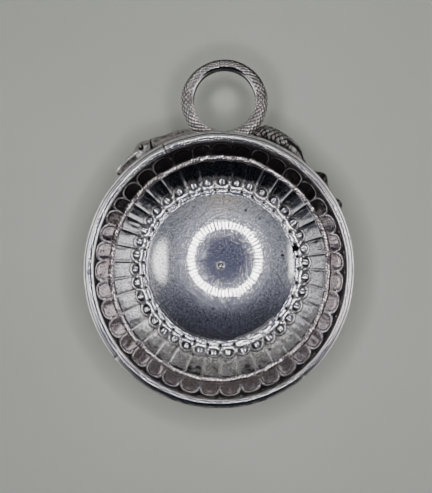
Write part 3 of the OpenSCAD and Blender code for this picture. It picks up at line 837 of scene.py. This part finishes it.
# ------------------------------------------------------------------ materials
class Nodes:
    """Small helper for building a node tree in code."""

    def __init__(self, name, made=None):
        self.mat = made or bpy.data.materials.new(name)
        self.mat.use_nodes = True
        self.t = self.mat.node_tree
        self.t.nodes.clear()

    def new(self, kind, **props):
        n = self.t.nodes.new(kind)
        for k, v in props.items():
            setattr(n, k, v)
        return n

    def link(self, a, b):
        self.t.links.new(a, b)

    def put(self, socket, v):
        if isinstance(v, bpy.types.NodeSocket):
            self.link(v, socket)
        else:
            socket.default_value = v

    def attr(self, name):
        return self.new("ShaderNodeAttribute", attribute_name=name).outputs["Fac"]

    def math(self, op, a, b=0.0, c=None, clamp=False):
        n = self.new("ShaderNodeMath", operation=op, use_clamp=clamp)
        self.put(n.inputs[0], a)
        self.put(n.inputs[1], b)
        if c is not None:
            self.put(n.inputs[2], c)
        return n.outputs[0]

    def ramp(self, v, a, b, lo=0.0, hi=1.0):
        n = self.new("ShaderNodeMapRange", interpolation_type="SMOOTHSTEP", clamp=True)
        self.put(n.inputs["Value"], v)
        n.inputs["From Min"].default_value = a
        n.inputs["From Max"].default_value = b
        n.inputs["To Min"].default_value = lo
        n.inputs["To Max"].default_value = hi
        return n.outputs["Result"]

    def mix(self, f, a, b):
        n = self.new("ShaderNodeMix", data_type="RGBA", blend_type="MIX", clamp_factor=True)
        self.put(n.inputs["Factor"], f)
        for s, v in ((n.inputs[6], a), (n.inputs[7], b)):
            self.put(s, v if isinstance(v, bpy.types.NodeSocket) else (*v, 1.0))
        return n.outputs[2]

    def noise(self, co, scale, detail=3.0, rough=0.55, distort=0.0):
        n = self.new("ShaderNodeTexNoise", noise_dimensions="3D")
        self.link(co, n.inputs["Vector"])
        n.inputs["Scale"].default_value = scale
        n.inputs["Detail"].default_value = detail
        n.inputs["Roughness"].default_value = rough
        n.inputs["Distortion"].default_value = distort
        return n.outputs["Fac"]

    def mapped(self, co, rot, scale):
        n = self.new("ShaderNodeMapping", vector_type="TEXTURE")  # turns first, then stretches
        self.link(co, n.inputs["Vector"])
        n.inputs["Rotation"].default_value = rot
        n.inputs["Scale"].default_value = tuple(1.0 / k for k in scale)
        return n.outputs["Vector"]

    def spot(self, co, x, y, size, rough):
        """1 in a small patch about a point given in millimetres, with a ragged edge."""
        v = self.new("ShaderNodeVectorMath", operation="MULTIPLY_ADD")
        self.link(co, v.inputs[0])
        v.inputs[1].default_value = (1.0, 1.0, 0.0)
        v.inputs[2].default_value = (-x * MM, -y * MM, 0.0)
        d = self.new("ShaderNodeVectorMath", operation="LENGTH")
        self.link(v.outputs[0], d.inputs[0])
        q = self.math("ADD", d.outputs["Value"], self.math("MULTIPLY", self.math("SUBTRACT", rough, 0.5), 1.6 * size * MM))
        return self.ramp(q, 0.75 * size * MM, 1.15 * size * MM, 1.0, 0.0)


def silver(name, clean, tarnish, soot, sharp, haze, share, scratch, warm_amount=1.0, blotch=0.35, grain_slope=1.0, grain=0.15, satin=0.0, spots=()):
    """Old silver: bright where it is rubbed, warm where it has toned, matt and dark in the chasing and where shade is
    painted, with hairlines and a fine bloom.
    """
    n = Nodes(name)
    co = n.new("ShaderNodeTexCoord").outputs["Object"]
    grime_and_shade, warm = n.attr("grime_and_shade"), n.attr("warm")

    patch = n.noise(co, 95.0, 4.0, 0.6, 0.3)
    mottle = n.noise(co, 420.0, 4.0, 0.62)
    fine = n.noise(co, 1300.0, 3.0, 0.65)
    bloom = n.noise(co, 15000.0, 0.0, 0.5)

    # streaks that run up the wall
    flat = n.new("ShaderNodeVectorMath", operation="MULTIPLY")
    n.link(co, flat.inputs[0])
    flat.inputs[1].default_value = (1.0, 1.0, 0.0)
    unit = n.new("ShaderNodeVectorMath", operation="NORMALIZE")
    n.link(flat.outputs[0], unit.inputs[0])
    spread = n.new("ShaderNodeVectorMath", operation="MULTIPLY_ADD")
    n.link(co, spread.inputs[0])
    spread.inputs[1].default_value = (6.0, 6.0, 1.5)
    n.link(unit.outputs[0], spread.inputs[2])
    streak = n.noise(spread.outputs[0], 70.0, 3.0, 0.6)

    # hairlines in a few directions, sparse and thin
    hair = None
    for rz, thin in ((0.20, 5200.0), (0.95, 6100.0), (1.55, 5600.0), (2.20, 6400.0), (2.80, 5900.0)):
        v = n.mapped(co, (0.0, 0.0, rz), (160.0, thin, 400.0))
        h = n.ramp(n.noise(v, 1.0, 1.0, 0.5), 0.62, 0.78)
        hair = h if hair is None else n.math("MAXIMUM", hair, h)

    # toning: warm and uneven, strongest where the attribute says
    tone = n.math("MULTIPLY", warm, n.ramp(patch, 0.25, 0.75, 0.62, 1.0))
    tone = n.math("ADD", n.math("MULTIPLY", tone, warm_amount), n.ramp(patch, 0.45, 0.85, 0.0, blotch), clamp=True)
    col = n.mix(tone, clean, tarnish)
    # darkened towards soot by the attribute: tarnish in the hollows and painted shade
    g = n.math("ADD", grime_and_shade, n.math("MULTIPLY", n.math("SUBTRACT", mottle, 0.5), 0.60))
    g = n.math("ADD", g, n.math("MULTIPLY", n.math("MULTIPLY", n.math("SUBTRACT", streak, 0.48), 1.1), n.attr("chased")))
    dark = n.ramp(g, 0.28, 0.80)
    col = n.mix(dark, col, soot)
    speck = n.math("MULTIPLY", n.ramp(n.noise(co, 620.0, 2.0, 0.5), 0.71, 0.77), 0.8)
    for x, y, size, k in spots:
        speck = n.math("MAXIMUM", speck, n.math("MULTIPLY", n.spot(co, x, y, size, fine), k))
    col = n.mix(speck, col, soot)
    col = n.mix(n.ramp(n.noise(co, 2300.0, 2.0, 0.7), 0.34, 0.62, grain, 0.0), col, soot)

    r = n.math("MULTIPLY", n.ramp(bloom, share - 0.03, share + 0.03, 1.0, 0.0), n.attr("hazy"))
    r = n.math("MULTIPLY_ADD", r, haze - sharp, sharp)
    r = n.math("ADD", r, n.ramp(patch, 0.3, 0.8, 0.0, sharp * 0.5))
    r = n.math("ADD", r, n.math("MULTIPLY", hair, 0.10 * scratch))
    r = n.math("ADD", r, n.math("MULTIPLY", n.attr("chased"), satin))
    r = n.math("ADD", r, n.math("MULTIPLY", dark, 0.42), clamp=True)

    height = n.math("ADD", n.math("MULTIPLY", hair, -0.05 * scratch), n.math("MULTIPLY", fine, grain_slope))
    bump = n.new("ShaderNodeBump")
    bump.inputs["Strength"].default_value = 1.0
    bump.inputs["Distance"].default_value = 0.00002
    n.link(height, bump.inputs["Height"])

    b = n.new("ShaderNodeBsdfPrincipled")
    n.link(n.ramp(dark, 0.0, 1.0, 1.0, 0.25), b.inputs["Metallic"])
    b.inputs["Specular IOR Level"].default_value = 0.25
    n.link(col, b.inputs["Base Color"])
    n.link(r, b.inputs["Roughness"])
    n.link(bump.outputs["Normal"], b.inputs["Normal"])
    o = n.new("ShaderNodeOutputMaterial")
    n.link(b.outputs["BSDF"], o.inputs["Surface"])
    return n.mat


def plain_emitter(name, colour, strength):
    n = Nodes(name)
    e = n.new("ShaderNodeEmission")
    e.inputs["Color"].default_value = (*colour, 1)
    e.inputs["Strength"].default_value = strength
    o = n.new("ShaderNodeOutputMaterial")
    n.link(e.outputs["Emission"], o.inputs["Surface"])
    return n.mat


def frosted_ring():
    """Soft glow that is strongest next to the lamp's bars and fades inward and outward."""
    n = Nodes("lamp_frost")
    v = n.new("ShaderNodeVectorMath", operation="MULTIPLY_ADD")
    n.link(n.new("ShaderNodeTexCoord").outputs["Object"], v.inputs[0])
    v.inputs[1].default_value = (1.0, 1.0, 0.0)
    v.inputs[2].default_value = (-4.4 * MM, -9.8 * MM, 0.0)
    d = n.new("ShaderNodeVectorMath", operation="LENGTH")
    n.link(v.outputs[0], d.inputs[0])
    glow = n.math("MULTIPLY", n.ramp(d.outputs["Value"], 0.037, 0.068), n.ramp(d.outputs["Value"], 0.080, 0.140, 1.0, 0.0))
    e = n.new("ShaderNodeEmission")
    e.inputs["Color"].default_value = (0.86, 0.90, 1.0, 1)
    n.link(n.math("MULTIPLY", glow, 0.24), e.inputs["Strength"])
    both = n.new("ShaderNodeAddShader")  # the room shows through it
    n.link(e.outputs["Emission"], both.inputs[0])
    n.link(n.new("ShaderNodeBsdfTransparent").outputs["BSDF"], both.inputs[1])
    o = n.new("ShaderNodeOutputMaterial")
    n.link(both.outputs["Shader"], o.inputs["Surface"])
    return n.mat


def floor_material():
    n = Nodes("pale_floor")
    co = n.new("ShaderNodeTexCoord").outputs["Object"]
    big = n.noise(co, 9.0, 3.0, 0.5)
    fine = n.noise(co, 900.0, 3.0, 0.6)
    col = n.mix(n.ramp(big, 0.3, 0.7), (0.292, 0.300, 0.283), (0.308, 0.315, 0.298))
    col = n.mix(n.math("MULTIPLY", n.ramp(fine, 0.66, 0.80), 0.10), col, (0.25, 0.25, 0.24))
    b = n.new("ShaderNodeBsdfPrincipled")
    n.link(col, b.inputs["Base Color"])
    n.link(n.ramp(fine, 0.3, 0.7, 0.55, 0.68), b.inputs["Roughness"])
    b.inputs["Specular IOR Level"].default_value = 0.15
    o = n.new("ShaderNodeOutputMaterial")
    n.link(b.outputs["BSDF"], o.inputs["Surface"])
    return n.mat


BOSS_SPOTS = ((24.6, 6.3, 1.15, 1.0), (8.2, 18.7, 0.42, 0.9), (20.3, 4.0, 0.45, 0.8), (12.8, 16.0, 0.30, 0.7), (-11.0, -14.5, 0.28, 0.6), (3.0, -19.6, 0.32, 0.6))
BOWL_MAT = silver("old_silver_bowl", (0.87, 0.865, 0.865), (0.69, 0.59, 0.58), (0.008, 0.006, 0.007), 0.024, 0.245, 0.466, 0.22, blotch=0.10, grain_slope=0.02, grain=0.48, satin=0.14, spots=BOSS_SPOTS)
RIM_MAT = silver("rubbed_silver_rim", (0.92, 0.91, 0.90), (0.72, 0.65, 0.61), (0.012, 0.010, 0.010), 0.07, 0.22, 0.42, 0.6, blotch=0.10, grain_slope=0.03, grain=0.22)
SERPENT_MAT = silver("cast_silver_serpent", (0.80, 0.78, 0.76), (0.40, 0.35, 0.33), (0.008, 0.006, 0.006), 0.06, 0.18, 0.36, 0.6, blotch=0.3, grain_slope=0.8, grain=0.35)
SOLDER_MAT = silver("dull_solder", (0.60, 0.59, 0.58), (0.40, 0.36, 0.33), (0.03, 0.026, 0.024), 0.18, 0.36, 0.5, 0.4, blotch=0.3, grain_slope=1.5, grain=0.3)


def dress(ob, mat, slot, *nodes):
    ob.data.materials.append(mat)
    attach(ob, "root")
    if nodes:
        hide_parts(*nodes)


# ------------------------------------------------------------------ build
dress(build_bowl(), BOWL_MAT, "bowl_silver", "bowl")
dress(build_rim(), RIM_MAT, "rim_silver", "rim_moulding")
dress(build_rim_seam(), SOLDER_MAT, "solder", "rim_solder_seam")
dress(build_ring(), SERPENT_MAT, "serpent_silver", "finger_ring")
_head, _tongue = build_head()
dress(_head, SERPENT_MAT, "serpent_silver", "serpent_head")
dress(_tongue, SERPENT_MAT, "serpent_silver")
dress(build_tail(), SERPENT_MAT, "serpent_silver", "serpent_tail")
dress(build_bed("head_solder", -36.3, -9.2, 90, HEAD_Z, HEAD_W, 101), SOLDER_MAT, "solder", "head_solder_bed")
dress(build_bed("tail_solder", 12.8, 74.2, 260, TAIL_Z, TAIL_W, 103), SOLDER_MAT, "solder", "tail_solder_bed")
_wedges = build_fillets()
dress(_wedges[0], SOLDER_MAT, "solder", "ring_solder_fillets")
dress(_wedges[1], SOLDER_MAT, "solder")

# ------------------------------------------------------------------ stage
bpy.ops.mesh.primitive_plane_add(size=24.0, location=(0, 0, 0))
floor = bpy.context.object
floor.name = "floor"
floor.data.materials.append(floor_material())

# camera straight above, in the photograph's frame
SCALE, DIST = 3.365, 235.0
cam = bpy.data.cameras.new("camera")
cam.sensor_width = 36.0
cam.sensor_fit = "AUTO"
cam.lens = 36.0 * DIST / (493.0 / SCALE)
cam.clip_start, cam.clip_end = 0.01, 20.0
cam_ob = bpy.data.objects.new("camera", cam)
cam_ob.location = (5.4 * MM, 8.85 * MM, (TOP + DIST) * MM)
cam.shift_x, cam.shift_y = -21.1 / 493.0, -6.0 / 493.0
bpy.context.scene.collection.objects.link(cam_ob)
bpy.context.scene.camera = cam_ob

# ring lamp round the camera, made of short bars, as the boss reflects it
def ring_lamp():
    v, q = [], []
    bars, r0, r1 = 60, 66.8, 81.0
    for k in range(bars):
        a0, a1 = 360.0 * (k + 0.445) / bars, 360.0 * (k + 0.555) / bars
        i = len(v)
        for r, a in ((r0, a0), (r1, a0), (r1, a1), (r0, a1)):
            v.append((4.4 + r * math.sin(a * RAD), 9.8 + r * math.cos(a * RAD), TOP + DIST))
        q.append((i, i + 1, i + 2, i + 3))
    ob = mesh_object("ring_lamp", np.array(v), q)
    ob.data.materials.append(plain_emitter("lamp_bars", (1.0, 0.99, 0.95), 60.0))
    ob.visible_camera = False
    # the frosted ring behind the bars
    a = np.arange(72) * 5.0
    k = np.arange(72)
    v = np.concatenate([np.c_[4.4 + r * np.sin(a * RAD), 9.8 + r * np.cos(a * RAD), np.full(72, TOP + DIST + 1)] for r in (36.0, 141.0)])
    ob = mesh_object("lamp_frost", v, np.stack([k, (k + 1) % 72, 72 + (k + 1) % 72, 72 + k], 1))
    ob.data.materials.append(frosted_ring())
    ob.visible_camera = False
    # soft light on the floor, from the lamp and from far out, kept out of the silver's reflections
    for name, r0, r1, z, power in (("lamp_glow", 61.5, 85.0, TOP + DIST, 24.3), ("room_glow", 800.0, 6000.0, 500.0, 0.95)):
        v = np.concatenate([np.c_[4.4 + r * np.sin(a * RAD), 9.8 + r * np.cos(a * RAD), np.full(72, z)] for r in (r0, r1)])
        ob = mesh_object(name, v, np.stack([k, (k + 1) % 72, 72 + (k + 1) % 72, 72 + k], 1))
        ob.data.materials.append(plain_emitter("soft_" + name, (1.0, 1.0, 0.985), power))
        ob.visible_camera = False
        ob.visible_glossy = False


def studio():
    """Soft light from all round: two tall soft windows, a pale wall behind, a dark front, a dim blue ceiling."""
    n = Nodes("", bpy.data.worlds.new("studio"))
    bpy.context.scene.world = n.mat
    n.mat.cycles_visibility.diffuse = False  # the floor has its light from the lamp
    xyz = n.new("ShaderNodeSeparateXYZ")
    n.link(n.new("ShaderNodeTexCoord").outputs["Generated"], xyz.inputs[0])
    off = n.math("MULTIPLY", n.math("ARCCOSINE", xyz.outputs[2]), 1 / RAD)  # degrees off vertical
    way = n.math("MULTIPLY", n.math("ARCTAN2", xyz.outputs[0], xyz.outputs[1]), 1 / RAD)  # clockwise from +Y
    total = None

    def turn(c):
        return n.math("ABSOLUTE", n.math("WRAP", n.math("SUBTRACT", way, float(c)), 180.0, -180.0))

    def add(v, colour):
        nonlocal total
        m = n.new("ShaderNodeVectorMath", operation="MULTIPLY_ADD")
        n.link(v, m.inputs[0])
        m.inputs[1].default_value = colour
        if total is None:
            m.inputs[2].default_value = ROOM
        else:
            n.link(total, m.inputs[2])
        total = m.outputs[0]

    def box(lo, hi, soft, c, half, soft_c, colour):
        v = n.math("MULTIPLY", n.ramp(off, lo - soft, lo + soft), n.ramp(off, hi - soft, hi + soft, 1.0, 0.0))
        add(n.math("MULTIPLY", v, n.ramp(turn(c), half - soft_c, half + soft_c, 1.0, 0.0)), colour)

    def oval(at, c, half, half_c, inner, colour):
        a = n.math("DIVIDE", n.math("SUBTRACT", off, float(at)), float(half))
        b = n.math("DIVIDE", turn(c), float(half_c))
        q = n.math("SQRT", n.math("ADD", n.math("MULTIPLY", a, a), n.math("MULTIPLY", b, b)))
        add(n.ramp(q, inner, 1.0, 1.0, 0.0), colour)

    for shape, args in STUDIO:
        (box if shape == "box" else oval)(*args)
    bg = n.new("ShaderNodeBackground")
    n.link(total, bg.inputs["Color"])
    o = n.new("ShaderNodeOutputWorld")
    n.link(bg.outputs[0], o.inputs["Surface"])


ROOM = (0.013, 0.014, 0.019)
STUDIO = (
    ("oval", (0, 0, 26, 400, 0.35, (0.113, 0.118, 0.190))),                      # ceiling
    ("box", (8, 30, 5, 180, 62, 30, (0.064, 0.065, 0.086))),                     # dim front
    ("box", (31, 60, 4, -90, 26, 9, (0.66, 0.65, 0.66))),                        # left window
    ("box", (32, 60, 4, 90, 28, 9, (1.10, 1.08, 1.10))),                         # right window
    ("oval", (8.5, -68, 1.0, 15, 0.30, (1.05, 1.08, 1.20))),                     # a narrow gap of daylight
    ("oval", (25.6, -89, 4.0, 25, 0.40, (2.10, 2.08, 2.08))),                    # left lamp shade
    ("oval", (28.2, 89, 2.6, 21, 0.35, (2.20, 2.17, 2.19))),                     # right lamp shade
    ("box", (17, 31, 4, 0, 58, 34, (0.322, 0.330, 0.362))),                        # wall behind, darker half way down
    ("box", (31, 52, 5, 0, 58, 34, (0.17, 0.168, 0.166))),
    ("box", (54, 68, 6, 0, 62, 30, (0.62, 0.615, 0.60))),
    ("oval", (25, 0, 9, 26, 0.2, (0.11, 0.075, 0.02))),                          # a warm place on it
    ("box", (17, 84, 4, -90, 34, 26, (0.152, 0.160, 0.192))),                     # side walls
    ("box", (17, 84, 4, 90, 34, 26, (0.152, 0.160, 0.192))),
    ("box", (60, 86, 5, -90, 44, 20, (1.30, 1.28, 1.26))),                       # low light from both sides
    ("box", (60, 86, 5, 90, 44, 20, (1.30, 1.28, 1.26))),
)
ring_lamp()
studio()

vs = bpy.context.scene.view_settings
vs.view_transform = "AgX"
vs.look = "AgX - Medium High Contrast"
vs.exposure = 0.0
